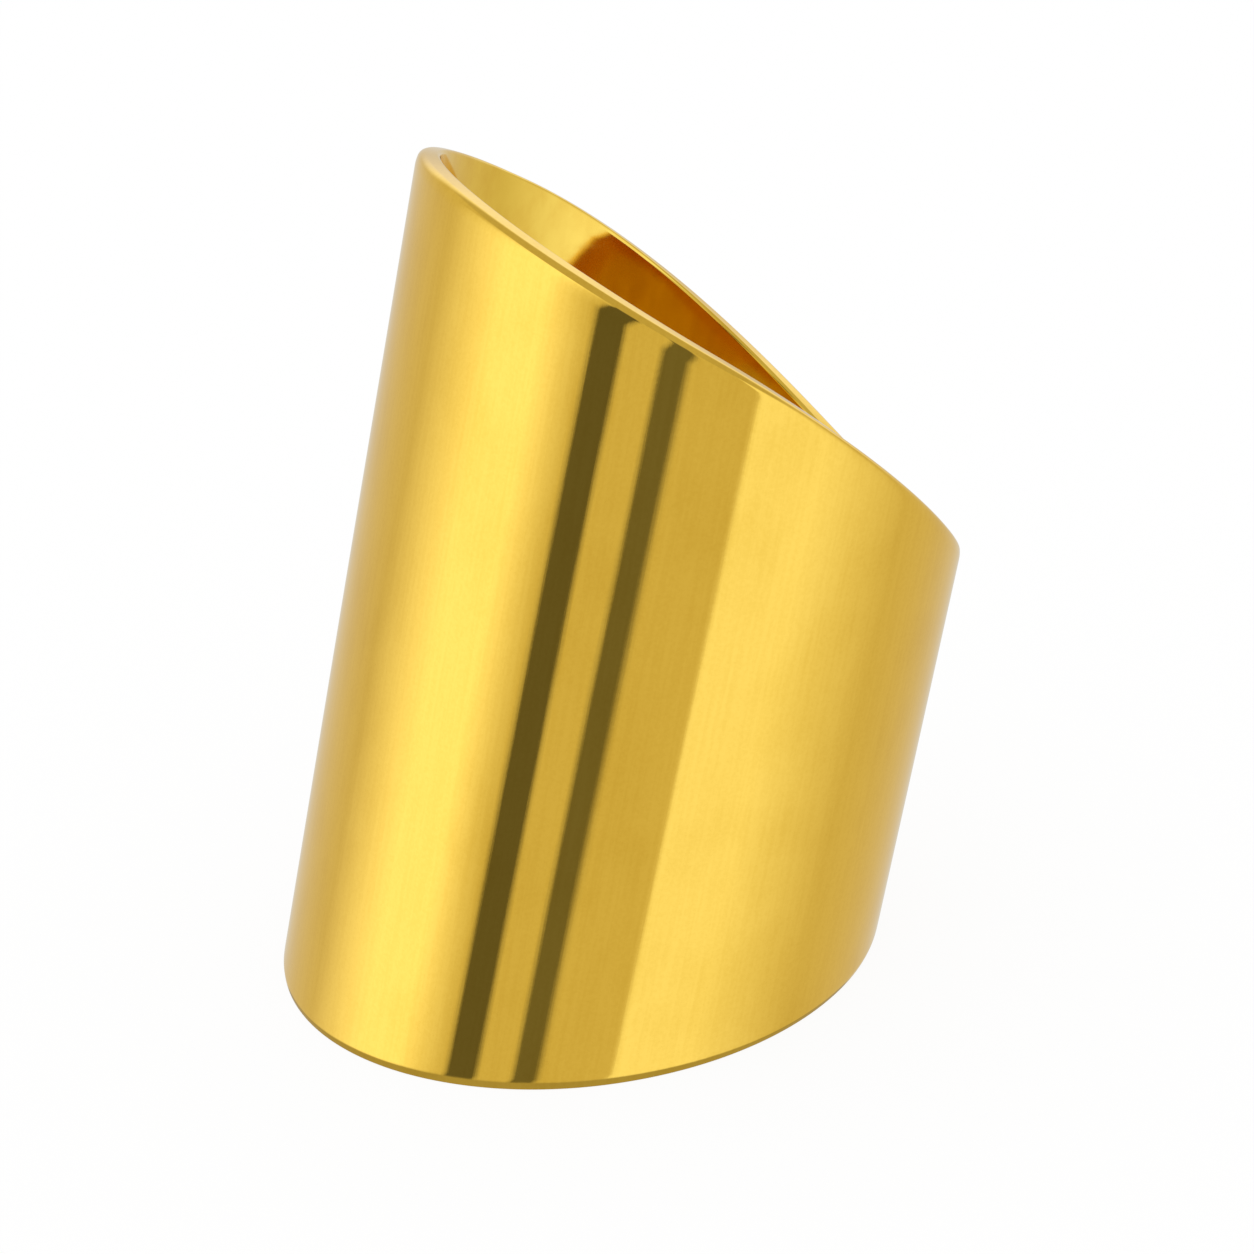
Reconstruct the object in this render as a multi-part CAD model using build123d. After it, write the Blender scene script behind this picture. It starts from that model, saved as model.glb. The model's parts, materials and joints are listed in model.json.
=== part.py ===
from build123d import *

import math
import os

# A guitar slide: one short brass tube, open at both ends, machined and polished all over.
#
# The tube stands on its lower end, which is cut flat but not square to the bore, so the
# tube leans towards +X. Its upper end slopes down from a tall side (-X) to a short side
# (+X): straight at first, then falling away on a wide radius. The rim face is level along
# every radius of the tube, so it is as wide as the wall all the way round.
#
# The origin is where the axis of the tube crosses the base, +Z is up, and the XZ plane is
# the plane of symmetry. Lengths are in millimetres and angles in degrees.

# Driving dimensions
OUTSIDE_DIAMETER = 22.0
WALL = 0.85
LONG_SIDE = 32.45    # length of the tall side of the outer wall, from the base to the tip
BASE_SLANT = 15.5    # how far the base is from a square cut, which is how far the tube leans
RIM_SLOPE = 21.0     # slope of the straight stretch of the rim, measured from a square cut
RIM_STRAIGHT = 7.2   # how far across the tube the straight stretch reaches
RIM_RADIUS = 45.0    # radius on which the rest of the rim falls away
RIM_FILLET = 0.2     # rounding of both edges of the rim
BASE_OUTER_FILLET = 0.35  # rounding of the base's outer edge
BASE_INNER_FILLET = 0.2   # rounding of the base's inner edge, at the mouth of the bore

# Worked out from them
OUTER_RADIUS = OUTSIDE_DIAMETER / 2
TIP_HEIGHT = LONG_SIDE - OUTER_RADIUS * math.tan(math.radians(BASE_SLANT))
OVERRUN = 3.0        # how far a cutting shape reaches past the tube


def rim_line():
    """The rim seen from the side: a straight slope, then an arc that bends downwards."""
    slope = math.radians(RIM_SLOPE)
    straight = Line(
        (-OUTER_RADIUS - OVERRUN, TIP_HEIGHT + OVERRUN * math.tan(slope)),
        (-OUTER_RADIUS + RIM_STRAIGHT, TIP_HEIGHT - RIM_STRAIGHT * math.tan(slope)),
    )
    reach = OUTSIDE_DIAMETER - RIM_STRAIGHT + OVERRUN
    final_slope = math.asin(math.sin(slope) + reach / RIM_RADIUS)
    curve = JernArc(straight @ 1, straight % 1, RIM_RADIUS, math.degrees(slope - final_slope))
    return straight, curve


def space_below_rim():
    """A slab, wider than the tube, that fills everything below the rim line."""
    straight, curve = rim_line()
    left = (straight @ 0).X
    right = (curve @ 1).X
    ends = Polyline(curve @ 1, (right, -OUTER_RADIUS), (left, -OUTER_RADIUS), straight @ 0)
    side_view = Plane.XZ * make_face([straight, curve, ends])
    return extrude(side_view, amount=OUTER_RADIUS + OVERRUN, both=True)


def upright_tube():
    """The tube on the Z axis, with its rim finished and its lower end still too long."""
    rod = Cylinder(OUTER_RADIUS, 2 * LONG_SIDE)
    skin = (rod & space_below_rim()).faces().filter_by(GeomType.CYLINDER).sort_by(SortBy.AREA)[-1]
    tube = Solid.thicken(skin, -WALL)
    walls = tube.faces().filter_by(GeomType.CYLINDER)
    rim_edges = walls.edges().filter_by(
        lambda edge: edge.geom_type not in (GeomType.LINE, GeomType.CIRCLE)
    )
    return fillet(rim_edges, radius=RIM_FILLET)


def base_edges(tube):
    """The closed edges that lie in the base, from the innermost to the outermost."""
    return tube.edges().group_by(Axis.Z)[0].sort_by(SortBy.LENGTH)


def slide_tube():
    """The whole slide: the tube leaned over, cut level with the ground and rounded there."""
    leaning = Rot(0, BASE_SLANT, 0) * upright_tube()
    standing = split(leaning, Plane.XY, keep=Keep.TOP)
    eased_outside = fillet(base_edges(standing)[-1], radius=BASE_OUTER_FILLET)
    return fillet(base_edges(eased_outside)[0], radius=BASE_INNER_FILLET)


os.makedirs("parts", exist_ok=True)
export_step(slide_tube(), "parts/slide_tube.step")
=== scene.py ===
import json
import math

import bpy
from mathutils import Matrix, Vector, noise


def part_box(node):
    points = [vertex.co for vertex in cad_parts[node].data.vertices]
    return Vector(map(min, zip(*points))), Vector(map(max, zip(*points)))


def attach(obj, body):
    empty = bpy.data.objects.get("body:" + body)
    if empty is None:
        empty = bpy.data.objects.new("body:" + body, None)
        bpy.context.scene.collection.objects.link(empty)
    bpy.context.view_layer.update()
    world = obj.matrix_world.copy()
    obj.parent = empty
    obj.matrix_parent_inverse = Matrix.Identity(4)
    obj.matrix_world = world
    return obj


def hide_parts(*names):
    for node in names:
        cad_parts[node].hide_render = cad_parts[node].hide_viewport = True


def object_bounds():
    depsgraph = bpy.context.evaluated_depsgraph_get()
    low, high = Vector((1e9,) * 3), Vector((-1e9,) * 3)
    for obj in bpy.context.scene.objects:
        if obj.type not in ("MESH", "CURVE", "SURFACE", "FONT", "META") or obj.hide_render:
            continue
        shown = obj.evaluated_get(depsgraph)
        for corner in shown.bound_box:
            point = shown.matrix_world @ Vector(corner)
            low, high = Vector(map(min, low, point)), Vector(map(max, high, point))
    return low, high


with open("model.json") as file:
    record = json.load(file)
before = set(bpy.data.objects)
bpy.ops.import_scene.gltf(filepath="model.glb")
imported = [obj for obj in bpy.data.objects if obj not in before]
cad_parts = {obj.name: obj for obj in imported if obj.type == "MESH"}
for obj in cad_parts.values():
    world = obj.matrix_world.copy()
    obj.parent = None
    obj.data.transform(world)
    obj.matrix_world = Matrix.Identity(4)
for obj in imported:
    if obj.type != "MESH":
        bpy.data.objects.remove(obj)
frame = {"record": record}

MM = 0.001
NODE = "slide_tube"

# The rim line, as the frame has it: a straight slope and then an arc that bends downwards
LONG_SIDE = 32.45 * MM
RIM_SLOPE = math.radians(21.0)
RIM_STRAIGHT = 7.2 * MM
RIM_RADIUS = 45.0 * MM

# Camera: where it stands, seen from the object, and how far its aim is off the box's centre
CAMERA_AZIMUTH = math.radians(-17.58)
CAMERA_ELEVATION = math.radians(26.18)
CAMERA_ROLL = math.radians(-4.88)
CAMERA_DISTANCE = 150.0 * MM
CAMERA_AIM_RIGHT = 1.16 * MM
CAMERA_AIM_UP = -2.73 * MM
SENSOR_WIDTH = 36.0
CAMERA_LENS = 117.56

# Mesh
AROUND = 480
ROWS = 44
DEGREES_A_PIECE = 4.0

# Hand polishing: how deep its slow waves and its long ripples are, and how closely both are packed
# round the wall and along it
WAVINESS = 0.012 * MM
WAVES_AROUND = 1.5
WAVES_ALONG = 60.0
RIPPLES = 0.0012 * MM
RIPPLES_AROUND = 9.0
RIPPLES_ALONG = 90.0
BORE_OFFSET = 5.0         # sets the bore's waves apart from those of the outer wall

# The four edges, from the wall to the end face: lengths along the corner in mm, and the turn in
# degrees by the end of each
RIM_OUTER = [(0.34, 16), (0.15, 48), (0.05, 60), (0.12, 78), (0.06, 90)]
RIM_INNER = [(0.05, 20), (0.14, 70), (0.05, 90)]
BASE_OUTER = [(0.24, 2), (0.07, 13), (0.13, 17), (0.08, 90)]
BASE_INNER = [(0.30, 90)]


def keep_box():
    """The shown object's box as plain lists."""
    low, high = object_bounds()
    return [list(low), list(high)]


cad_box = keep_box()
box_low, box_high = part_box(NODE)
bore = next(m for m in frame["record"]["mounts"] if m["name"] == "finger_bore")
INNER_RADIUS = bore["dims"]["r_mm"] * MM
OUTER_RADIUS = (box_high.y - box_low.y) / 2
WALL = OUTER_RADIUS - INNER_RADIUS
LEAN = math.atan2(bore["axis"][0], bore["axis"][2])
TIP_HEIGHT = LONG_SIDE - OUTER_RADIUS * math.tan(LEAN)


# ---------------------------------------------------------------- tube

def rim_height(x):
    """Height and slope of the rim over the upright tube's XZ plane, at x."""
    bend_x = RIM_STRAIGHT - OUTER_RADIUS
    if x <= bend_x:
        return TIP_HEIGHT - (x + OUTER_RADIUS) * math.tan(RIM_SLOPE), -math.tan(RIM_SLOPE)
    bend_height = TIP_HEIGHT - RIM_STRAIGHT * math.tan(RIM_SLOPE)
    centre_x = bend_x - RIM_RADIUS * math.sin(RIM_SLOPE)
    centre_z = bend_height - RIM_RADIUS * math.cos(RIM_SLOPE)
    rise = math.sqrt(RIM_RADIUS ** 2 - (x - centre_x) ** 2)
    return centre_z + rise, -(x - centre_x) / rise


def rolled(stages):
    """A rounded corner from the wall to the end face: how far in from the wall and from the end it is.

    A stage is a length along the corner, in mm, and how far the surface has turned by its end, in degrees.
    """
    inward, along, turn = 0.0, 0.0, 0.0
    places = [(0.0, 0.0)]
    for length, end_turn in stages:
        pieces = max(3, math.ceil((end_turn - turn) / DEGREES_A_PIECE))
        for i in range(pieces):
            middle = math.radians(turn + (end_turn - turn) * (i + 0.5) / pieces)
            inward += length / pieces * math.sin(middle)
            along += length / pieces * math.cos(middle)
            places.append((inward, along))
        turn = end_turn
    return [(q * MM, (along - h) * MM) for q, h in places]


def section():
    """Stations round the cross-section of the wall, as (depth in from the outer wall, share of the way
    from the base to the rim, distance from that end)."""
    rim_outer = rolled(RIM_OUTER)
    rim_inner = rolled(RIM_INNER)
    base_outer = rolled(BASE_OUTER)
    base_inner = rolled(BASE_INNER)
    stations = []
    for i in range(1, ROWS):
        stations.append((0.0, i / ROWS, None))
    stations += [(q, 1.0, h) for q, h in rim_outer]
    stations += [(WALL - q, 1.0, h) for q, h in reversed(rim_inner)]
    for i in range(1, ROWS):
        stations.append((WALL, 1 - i / ROWS, None))
    stations += [(WALL - q, 0.0, h) for q, h in base_inner]
    stations += [(q, 0.0, h) for q, h in reversed(base_outer)]
    return stations, rim_outer[0][1], rim_inner[0][1], base_inner[0][1], base_outer[0][1]


def hand_finish(angle, z, depth):
    """How far polishing by hand has left the wall from a true cylinder, at a place on it."""
    side = 2 * angle + (BORE_OFFSET if depth > WALL / 2 else 0.0)
    waves = noise.noise((WAVES_AROUND * math.cos(side), WAVES_AROUND * math.sin(side), WAVES_ALONG * z))
    c, s = math.cos(angle), math.sin(angle)
    ripples = noise.noise((RIPPLES_AROUND * c, RIPPLES_AROUND * s, RIPPLES_ALONG * z))
    return WAVINESS * waves + RIPPLES * ripples


def tube_mesh():
    """The tube, standing on its base."""
    stations, rim_out, rim_in, base_in, base_out = section()
    verts = []
    for k in range(AROUND):
        angle = 2 * math.pi * k / AROUND
        c, s = math.cos(angle), math.sin(angle)
        top, slope = rim_height(OUTER_RADIUS * c)
        steep = math.sqrt(1 + (slope * s) ** 2)
        for depth, share, off in stations:
            r = OUTER_RADIUS - depth
            bottom = r * c * math.tan(LEAN)
            if off is None:
                low = bottom + (base_out if depth == 0 else base_in)
                high = top - (rim_out if depth == 0 else rim_in) * steep
                z = low + (high - low) * share
            elif share == 1.0:
                z = top - off * steep
            else:
                z = bottom + off
            r -= hand_finish(angle, z, depth)
            verts.append((r * c, r * s, z))
    n = len(stations)
    faces = []
    for k in range(AROUND):
        a, b = k * n, (k + 1) % AROUND * n
        for i in range(n):
            j = (i + 1) % n
            faces.append((a + i, b + i, b + j, a + j))
    mesh = bpy.data.meshes.new("brass_tube")
    mesh.from_pydata(verts, [], faces)
    mesh.transform(Matrix.Rotation(LEAN, 4, "Y"))
    mesh.polygons.foreach_set("use_smooth", [True] * len(faces))
    mesh.update()
    return mesh


def make_tube():
    """The one piece of the object, shown in place of its CAD solid."""
    tube = bpy.data.objects.new("brass_tube", tube_mesh())
    bpy.context.scene.collection.objects.link(tube)
    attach(tube, "root")
    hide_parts(NODE)
    return tube


# ---------------------------------------------------------------- material

BRASS = (0.90, 0.59, 0.08)
BRASS_DULLED = (0.82, 0.52, 0.06)
BORE_BRASS = (0.90, 0.62, 0.09)
BORE_DULLED = (0.83, 0.54, 0.07)
# Patterns in the brass: how they are stretched, and their scale, detail and roughness
HOOPS = ((0.05, 0.05, 1.0), 2.2, 4.0, 0.62)
STREAKS = ((1.0, 1.0, 0.03), 6.0, 3.0, 0.65)
GRAIN = ((1.0, 1.0, 1.0), 7.0, 3.0, 0.6)
CLOUDS = ((1.0, 1.0, 0.7), 0.28, 3.0, 0.55)
SMUDGES = ((1.0, 1.0, 0.6), 0.5, 4.0, 0.6)
RELIEF_DEPTH = 0.0008 * MM
# Roughness: the range that polishing left, and what dulled patches and the bore add to it
POLISH = (0.018, 0.038)
DULLED_HAZE = 0.012
BORE_HAZE = (0.03, 0.06)
# How far out from the bore's surface its look holds and has faded out, in mm
BORE_LOOK_DEPTH = (0.05, 0.2)


class Nodes:
    """Short ways to add nodes to one node tree and wire them up."""

    def __init__(self, tree):
        self.tree = tree

    def add(self, kind, settings=None, **inputs):
        node = self.tree.nodes.new(kind)
        for name, value in (settings or {}).items():
            setattr(node, name, value)
        for name, value in inputs.items():
            self.feed(node.inputs[name.replace("_", " ")], value)
        return node

    def feed(self, socket, value):
        if isinstance(value, bpy.types.NodeSocket):
            self.tree.links.new(value, socket)
        else:
            socket.default_value = value

    def math(self, operation, *values):
        node = self.tree.nodes.new("ShaderNodeMath")
        node.operation = operation
        for socket, value in zip(node.inputs, values):
            self.feed(socket, value)
        return node.outputs[0]

    def spread(self, value, low, high, to_low=0.0, to_high=1.0):
        """value, from the range low..high smoothly to the range to_low..to_high, and held at its ends."""
        node = self.add("ShaderNodeMapRange", {"interpolation_type": "SMOOTHSTEP"})
        for name, number in (("Value", value), ("From Min", low), ("From Max", high),
                             ("To Min", to_low), ("To Max", to_high)):
            self.feed(node.inputs[name], number)
        return node.outputs["Result"]

    def blend(self, share, first, second):
        """A colour between two colours."""
        node = self.add("ShaderNodeMix", {"data_type": "RGBA"})
        self.feed(node.inputs["Factor"], share)
        for socket, colour in ((node.inputs["A"], first), (node.inputs["B"], second)):
            self.feed(socket, colour if isinstance(colour, bpy.types.NodeSocket) else (*colour, 1))
        return node.outputs["Result"]

    def noise(self, where, stretch, scale, detail, roughness):
        """Noise in stretched coordinates; a small stretch along an axis draws the pattern out along it."""
        place = self.add("ShaderNodeMapping", Vector=where, Scale=stretch)
        node = self.add("ShaderNodeTexNoise", Vector=place.outputs["Vector"], Scale=scale,
                        Detail=detail, Roughness=roughness)
        return node.outputs["Fac"]


def brass():
    """Polished brass, a little darker and hazier in the bore."""
    material = bpy.data.materials.new("polished_brass")
    material.use_nodes = True
    tree = Nodes(material.node_tree)
    shader = material.node_tree.nodes["Principled BSDF"]
    shader.inputs["Metallic"].default_value = 1.0

    # Places in the tube's own frame, in millimetres: its axis is Z
    place = tree.add("ShaderNodeTexCoord").outputs["Object"]
    upright = tree.add("ShaderNodeMapping", Vector=place, Rotation=(0, -LEAN, 0), Scale=(1000, 1000, 1000))
    here = upright.outputs["Vector"]
    flat = tree.add("ShaderNodeVectorMath", {"operation": "MULTIPLY"})
    tree.feed(flat.inputs[0], here)
    tree.feed(flat.inputs[1], (1, 1, 0))
    length = tree.add("ShaderNodeVectorMath", {"operation": "LENGTH"})
    tree.feed(length.inputs[0], flat.outputs[0])
    radius = length.outputs["Value"]
    into_wall = tree.math("SUBTRACT", radius, INNER_RADIUS / MM)
    bore = tree.spread(into_wall, *BORE_LOOK_DEPTH, 1.0, 0.0)

    hoops = tree.noise(here, *HOOPS)
    streaks = tree.noise(here, *STREAKS)
    grain = tree.noise(here, *GRAIN)
    clouds = tree.noise(here, *CLOUDS)
    smudges = tree.noise(here, *SMUDGES)

    # Colour: dulled in patches, outside and in the bore
    dull = tree.spread(clouds, 0.42, 0.68)
    mottle = tree.math("ADD", tree.math("MULTIPLY", grain, 0.5), tree.math("MULTIPLY", streaks, 0.5))
    worn = tree.math("ADD", tree.math("MULTIPLY", dull, 0.5), tree.spread(mottle, 0.38, 0.64, 0.0, 0.5))
    outside = tree.blend(worn, BRASS, BRASS_DULLED)
    inside = tree.blend(tree.spread(smudges, 0.40, 0.65), BORE_BRASS, BORE_DULLED)
    tree.feed(shader.inputs["Base Color"], tree.blend(bore, outside, inside))

    # Polish: uneven in hoops, and hazier in the dulled patches and in the bore
    polish = tree.spread(hoops, 0.35, 0.7, *POLISH)
    haze = tree.math("MULTIPLY", dull, DULLED_HAZE)
    bore_haze = tree.math("MULTIPLY", bore, tree.spread(smudges, 0.35, 0.7, *BORE_HAZE))
    tree.feed(shader.inputs["Roughness"], tree.math("ADD", tree.math("ADD", polish, haze), bore_haze))

    # Relief: polishing marks, fainter in the bore
    relief = tree.math("ADD", tree.math("MULTIPLY", hoops, 0.6), tree.math("MULTIPLY", streaks, 0.5))
    relief = tree.math("ADD", relief, tree.math("MULTIPLY", grain, 0.22))
    bump = tree.add("ShaderNodeBump", Height=relief, Distance=RELIEF_DEPTH)
    tree.feed(bump.inputs["Strength"], tree.math("MULTIPLY_ADD", bore, -0.7, 1.0))
    tree.feed(shader.inputs["Normal"], bump.outputs["Normal"])
    return material


# ---------------------------------------------------------------- studio

# A pale, slightly warm room with a few large plain pieces in it. Brightness 1 is white, and the
# lights are a little cool. Longitudes go round the tube, in degrees from the camera, and are positive
# on the camera's right. Heights are sines of the latitude.
CAMERA_LONGITUDE = math.radians(-114)
WARM = (1.0, 0.95, 0.85)
NEUTRAL = (1.0, 1.0, 1.0)
COOL = (0.95, 1.0, 1.3)
ROOM = 0.72
# The upright pieces: where each one's left edge begins and is full, where its right edge begins to
# fade and has faded out, its brightness and its tint
UPRIGHT_PIECES = {
    "key light": ((-115, -80, -60, -40), 1.4, COOL),
    "left flag": ((-40, -38, -28, -26), 0.14, NEUTRAL),
    "right flag": ((-13, -12, -4, -1), 0.18, NEUTRAL),
    "fill light": ((25, 27, 55, 100), 1.2, COOL),
}
PIECES_LEAN = 0.07                # in turns, for a rise of 1
PIECES_PIVOT = -0.34              # the height at which they stand at the longitudes above
CEILING = 0.6
CEILING_FADE = (0.55, 0.70)
# A soft light high up behind the tube: how it fades in upwards, and towards the back
BACK_LIGHT = 1.2
BACK_LIGHT_FOOT = (0.0, 0.5)
BACK_LIGHT_FADE = (-0.85, -0.55)
GROUND = 0.45
GROUND_EDGE = (-0.51, -0.48)
# Painted shade inside the tube: glowing grey discs that stand in for the shaded table, and which only the
# bore mirrors.
# A second one, further up where there is no table, keeps the number of reflections between it and the rim
# low.
SHADE = 0.55
SHADE_HEIGHTS = (0.0, 5.0 * MM)

# The floor under the tube
FLOOR_REACH = 4.0
FLOOR_DROP = 0.02 * MM    # keeps the floor off the base
FLOOR_COLOUR = (0.08, 0.08, 0.08)
FLOOR_GLOW = 0.92


def fill_ramp(node, stops):
    """Give a colour ramp its stops, each a place from 0 to 1 and a colour with its alpha."""
    ramp = node.color_ramp
    for i, (at, colour) in enumerate(stops):
        stop = ramp.elements[i] if i < 2 else ramp.elements.new(at)
        stop.position = at
        stop.color = colour


def glow(brightness, tint=NEUTRAL):
    """The colour of a surface of some brightness and tint."""
    return tuple(brightness * channel for channel in tint)


def longitude_window(tree, around, start, full, fade, end):
    """1 between the longitudes full and fade, falling to 0 at start and end."""
    ramp = tree.add("ShaderNodeValToRGB", Fac=around)
    stops = ((start, 0.0), (full, 1.0), (fade, 1.0), (end, 0.0))
    fill_ramp(ramp, [(degrees / 360 + 0.5, (*glow(share), 1)) for degrees, share in stops])
    return ramp.outputs["Color"]


def studio():
    """Lights and flags round the tube, which only its reflections show."""
    world = bpy.data.worlds.new("studio")
    bpy.context.scene.world = world
    world.use_nodes = True
    world.node_tree.nodes.clear()
    tree = Nodes(world.node_tree)
    where = tree.add("ShaderNodeTexCoord").outputs["Generated"]
    turn = tree.add("ShaderNodeMapping", Vector=where, Rotation=(0, -LEAN, -CAMERA_LONGITUDE))
    turned = turn.outputs["Vector"]
    parts = tree.add("ShaderNodeSeparateXYZ", Vector=turned)
    toward, sine = parts.outputs["X"], parts.outputs["Z"]
    longitude = tree.add("ShaderNodeTexGradient", {"gradient_type": "RADIAL"}, Vector=turned)
    above_pivot = tree.math("SUBTRACT", sine, PIECES_PIVOT)
    around = tree.math("MULTIPLY_ADD", above_pivot, -PIECES_LEAN, longitude.outputs["Fac"])

    room = glow(ROOM, WARM)
    for window, brightness, tint in UPRIGHT_PIECES.values():
        room = tree.blend(longitude_window(tree, around, *window), room, glow(brightness, tint))
    room = tree.blend(tree.spread(sine, *CEILING_FADE), room, glow(CEILING, WARM))
    back_side = tree.spread(toward, *BACK_LIGHT_FADE, 1.0, 0.0)
    behind = tree.math("MULTIPLY", back_side, tree.spread(sine, *BACK_LIGHT_FOOT))
    room = tree.blend(behind, room, glow(BACK_LIGHT, COOL))
    room = tree.blend(tree.spread(sine, *GROUND_EDGE, 1.0, 0.0), room, glow(GROUND, WARM))

    mirrored = tree.add("ShaderNodeBackground", Color=room)
    plain = tree.add("ShaderNodeBackground", Color=(1, 1, 1, 1))
    mix = tree.add("ShaderNodeMixShader", Fac=tree.add("ShaderNodeLightPath").outputs["Is Glossy Ray"])
    tree.feed(mix.inputs[1], plain.outputs["Background"])
    tree.feed(mix.inputs[2], mirrored.outputs["Background"])
    tree.add("ShaderNodeOutputWorld", Surface=mix.outputs["Shader"])


def floor():
    """A plain pale floor, which reflections don't show: the studio has its own ground."""
    corners = [(x * FLOOR_REACH, y * FLOOR_REACH, 0) for x, y in ((-1, -1), (1, -1), (1, 1), (-1, 1))]
    mesh = bpy.data.meshes.new("floor")
    mesh.from_pydata(corners, [], [(0, 1, 2, 3)])
    plane = bpy.data.objects.new("floor", mesh)
    bpy.context.scene.collection.objects.link(plane)
    plane.location.z = -FLOOR_DROP
    material = bpy.data.materials.new("pale_floor")
    material.use_nodes = True
    shader = material.node_tree.nodes["Principled BSDF"]
    shader.inputs["Base Color"].default_value = (*FLOOR_COLOUR, 1)
    shader.inputs["Roughness"].default_value = 1.0
    shader.inputs["Specular IOR Level"].default_value = 0.0
    shader.inputs["Emission Color"].default_value = (1, 1, 1, 1)
    shader.inputs["Emission Strength"].default_value = FLOOR_GLOW
    mesh.materials.append(material)
    plane.visible_glossy = False


def in_bore(x, y, height):
    """A place across the tube, at a height above the base, in the frame's own directions."""
    return x / math.cos(LEAN) + height * math.tan(LEAN), y, height


def shade_in_bore():
    """Painted shade inside the tube: plain glowing grey discs, standing in for the shaded table, that show
    only as reflections.
    """
    material = bpy.data.materials.new("shade")
    material.use_nodes = True
    shader = material.node_tree.nodes["Principled BSDF"]
    shader.inputs["Base Color"].default_value = (0, 0, 0, 1)
    shader.inputs["Roughness"].default_value = 1.0
    shader.inputs["Specular IOR Level"].default_value = 0.0
    # The discs glow a dim grey: this glow is the painted shade that the bore mirrors
    shader.inputs["Emission Color"].default_value = (*glow(SHADE), 1)
    shader.inputs["Emission Strength"].default_value = 1.0
    points = 48
    turns = [2 * math.pi * k / points for k in range(points)]
    circle = [(INNER_RADIUS * math.cos(a), INNER_RADIUS * math.sin(a)) for a in turns]
    verts = [in_bore(x, y, height) for height in SHADE_HEIGHTS for x, y in circle]
    faces = [tuple(range(points)), tuple(range(points, 2 * points))]
    mesh = bpy.data.meshes.new("shade_in_bore")
    mesh.from_pydata(verts, [], faces)
    mesh.materials.append(material)
    discs = bpy.data.objects.new("shade_in_bore", mesh)
    bpy.context.scene.collection.objects.link(discs)
    discs.visible_camera = False
    discs.visible_diffuse = False
    discs.visible_shadow = False


def camera():
    """The camera, at the set angle to the object's box."""
    a, e, roll = CAMERA_AZIMUTH, CAMERA_ELEVATION, CAMERA_ROLL
    back = Vector((math.sin(a) * math.cos(e), -math.cos(a) * math.cos(e), math.sin(e)))
    level = Vector((math.cos(a), math.sin(a), 0))
    rise = back.cross(level)
    right = level * math.cos(roll) + rise * math.sin(roll)
    up = rise * math.cos(roll) - level * math.sin(roll)
    aim = (Vector(cad_box[0]) + Vector(cad_box[1])) / 2 + right * CAMERA_AIM_RIGHT + up * CAMERA_AIM_UP
    data = bpy.data.cameras.new("camera")
    data.lens = CAMERA_LENS
    data.sensor_width = SENSOR_WIDTH
    data.clip_start = CAMERA_DISTANCE / 15
    eye = bpy.data.objects.new("camera", data)
    bpy.context.scene.collection.objects.link(eye)
    facing = Matrix((right, up, back)).transposed().to_4x4()
    eye.matrix_world = Matrix.Translation(aim + back * CAMERA_DISTANCE) @ facing
    bpy.context.scene.camera = eye


tube = make_tube()
tube.data.materials.append(brass())
studio()
floor()
shade_in_bore()
camera()
bpy.context.scene.view_settings.view_transform = "Standard"
